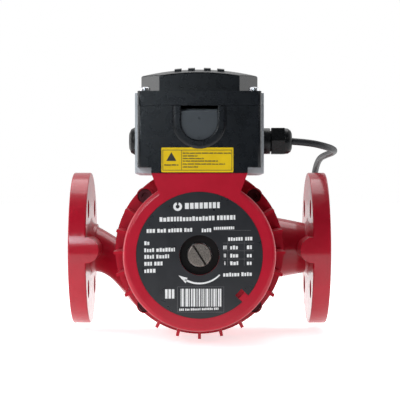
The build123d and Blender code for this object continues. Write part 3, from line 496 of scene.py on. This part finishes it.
for z, end in ((88.1, 27.2), (85.7, -0.8), (83.5, 3.7), (81.3, 15.8), (78.7, 22.4), (76.2, -1.3)):
    marks += greeked(-14.4, end, z, SMALL_TEXT, dice)
print_piece("sticker_marks", marks, STICKER_Y, black_ink)

# ---------------------------------------------------------------- vent screw's slot, with painted shade on its floor
# A dark strip on the slot's floor paints the shade that falls inside the slot.
SLOT_FLOOR_Y, SLOT_ANGLE, SLOT_HALF, SLOT_REACH = -184.8, math.radians(-57), 0.88, 9.9
END_STEPS = 6
painted_shade_outline = []
for end in (0, math.pi):
    for i in range(END_STEPS + 1):
        lean = math.asin(SLOT_HALF / SLOT_REACH) * (2 * i / END_STEPS - 1)
        painted_shade_outline.append(polar(SLOT_REACH, SLOT_ANGLE + end + lean))
print_piece("vent_slot_painted_shade", [painted_shade_outline], SLOT_FLOOR_Y, painted_slot_shade, body="vent_screw")

# ---------------------------------------------------------------- round skirt of the window frame
FRAME_R, FRAME_TOP, FRAME_MID = 21.7, 129.0, 115.2
SKIRT = ((-1.2, -192.5), (-0.2, -192.45), (0.6, -192.2), (1.3, -191.75), (1.8, -191.02), (1.8, -190.8),
         (-1.2, -190.8))  # section: outwards from the frame's edge, and y
ARCH_STEPS = 40
path = [((-1, 0), (-FRAME_R, FRAME_TOP))]  # (outward direction, place) in x and z
for i in range(ARCH_STEPS + 1):
    out = polar(1, math.pi + math.pi * i / ARCH_STEPS)
    path.append((out, (FRAME_R * out[0], FRAME_MID + FRAME_R * out[1])))
path.append(((1, 0), (FRAME_R, FRAME_TOP)))
skirt = bmesh.new()
rows = [[skirt.verts.new(((AXIS_X / MM + x + out[0] * wide) * MM, y * MM, (z + out[1] * wide) * MM))
         for wide, y in SKIRT] for out, (x, z) in path]
for first, second in zip(rows, rows[1:]):
    bridge(skirt, first, second)
skirt.faces.new(rows[0])
skirt.faces.new(rows[-1][::-1])
finish_piece(skirt, "window_frame_skirt", finishes["black_plastic"])

# ---------------------------------------------------------------- turned blends on the castings
TURNED_STEPS = 96


def turned(name, outline, centre, axis, finish):
    """Surface of revolution of (along, radius) points about an axis through centre."""
    made = bmesh.new()
    axis = Vector(axis)
    side = axis.orthogonal().normalized()
    up = axis.cross(side)
    rings = []
    for i in range(TURNED_STEPS):
        angle = 2 * math.pi * i / TURNED_STEPS
        out = side * math.cos(angle) + up * math.sin(angle)
        rings.append([made.verts.new((Vector(centre) + axis * along + out * radius) * MM)
                      for along, radius in outline])
    for i, first in enumerate(rings):
        bridge(made, first, rings[(i + 1) % TURNED_STEPS])
    finish_piece(made, name, finish, smooth=True)


# Each sits in the corner between a neck and its flange, and dips a little into both.
FLANGE_INNER, ROOT_R = 108.0, 6.5
INTO_FLANGE, INTO_NECK, NECK_DEPTH = 0.2, 0.3, 1.5
ARC_STEPS = 8
for name, side, neck in (("inlet_root", 1, 24.0), ("outlet_root", -1, 23.9)):
    arc = [math.pi / 2 * i / ARC_STEPS for i in range(ARC_STEPS + 1)]
    outline = [(-ROOT_R + ROOT_R * math.sin(a), neck - INTO_NECK + ROOT_R - ROOT_R * math.cos(a))
               for a in arc]
    outline = ([(INTO_FLANGE, neck - NECK_DEPTH), (-ROOT_R, neck - NECK_DEPTH)] + outline
               + [(INTO_FLANGE, neck - INTO_NECK + ROOT_R)])
    turned(name, outline, (AXIS_X / MM + side * FLANGE_INNER, 0, 0), (side, 0, 0),
           finishes["red_casting"])

# ---------------------------------------------------------------- floor
REACH, FRONT_REACH = 40.0, 0.62  # metres; in front it ends just below the main view
floor_mesh = bpy.data.meshes.new("floor")
floor_mesh.from_pydata([(-REACH, -FRONT_REACH, 0), (REACH, -FRONT_REACH, 0), (REACH, REACH, 0),
                        (-REACH, REACH, 0)], [], [(0, 1, 2, 3)])
floor = bpy.data.objects.new("floor", floor_mesh)
floor.location.z = cad_low.z
floor_mesh.materials.append(pale_floor)
scene.collection.objects.link(floor)

# ---------------------------------------------------------------- light
CENTRE = (AXIS_X, -0.1, 0.03)


def softbox(name, place, size, power, colour=(1, 1, 1)):
    """Area light that looks at the pump's middle."""
    data = bpy.data.lights.new(name, "AREA")
    data.shape = "RECTANGLE"
    data.size, data.size_y = size
    data.energy = power
    data.color = colour
    made = bpy.data.objects.new(name, data)
    made.location = place
    made.rotation_euler = (Vector(CENTRE) - Vector(place)).to_track_quat("-Z", "Y").to_euler()
    scene.collection.objects.link(made)


softbox("key_left", (-0.95, -0.95, 0.6), (0.5, 0.7), 5.5)
softbox("near_left", (-0.45, -1.5, 0.35), (0.22, 0.3), 3.4, colour=(0.82, 0.92, 1.0))
softbox("front_right", (0.75, -1.2, 0.7), (0.4, 0.4), 1.2)
softbox("side_left", (-1.3, 0.15, 0.25), (1.0, 0.9), 9)
softbox("side_right", (1.05, 0.25, 0.25), (1.0, 0.9), 4.6)
softbox("top", (AXIS_X, 0.35, 1.1), (1.2, 0.8), 8.5)

# The world is white where it is seen. As light it is dark in front and bright behind.
DARK_Y, BRIGHT_Y = -0.6, 0.25
DARK_LEVEL, BRIGHT_LEVEL = 0.02, 0.65
world = bpy.data.worlds.new("studio")
scene.world = world
world.use_nodes = True
tree = world.node_tree
background = tree.nodes["Background"]
background.inputs["Color"].default_value = (1, 1, 1, 1)
direction = tree.nodes.new("ShaderNodeTexCoord").outputs["Generated"]
parts = tree.nodes.new("ShaderNodeSeparateXYZ")
tree.links.new(direction, parts.inputs["Vector"])
front_to_back = tree.nodes.new("ShaderNodeMapRange")
front_to_back.interpolation_type = "SMOOTHSTEP"
front_to_back.inputs["From Min"].default_value = DARK_Y
front_to_back.inputs["From Max"].default_value = BRIGHT_Y
front_to_back.inputs["To Min"].default_value = DARK_LEVEL
front_to_back.inputs["To Max"].default_value = BRIGHT_LEVEL
tree.links.new(parts.outputs["Y"], front_to_back.inputs["Value"])
seen = tree.nodes.new("ShaderNodeLightPath").outputs["Is Camera Ray"]
level = tree.nodes.new("ShaderNodeMix")
level.data_type = "FLOAT"
level.inputs["B"].default_value = 1.0
tree.links.new(seen, level.inputs["Factor"])
tree.links.new(front_to_back.outputs["Result"], level.inputs["A"])
tree.links.new(level.outputs["Result"], background.inputs["Strength"])
scene.view_settings.view_transform = "Standard"
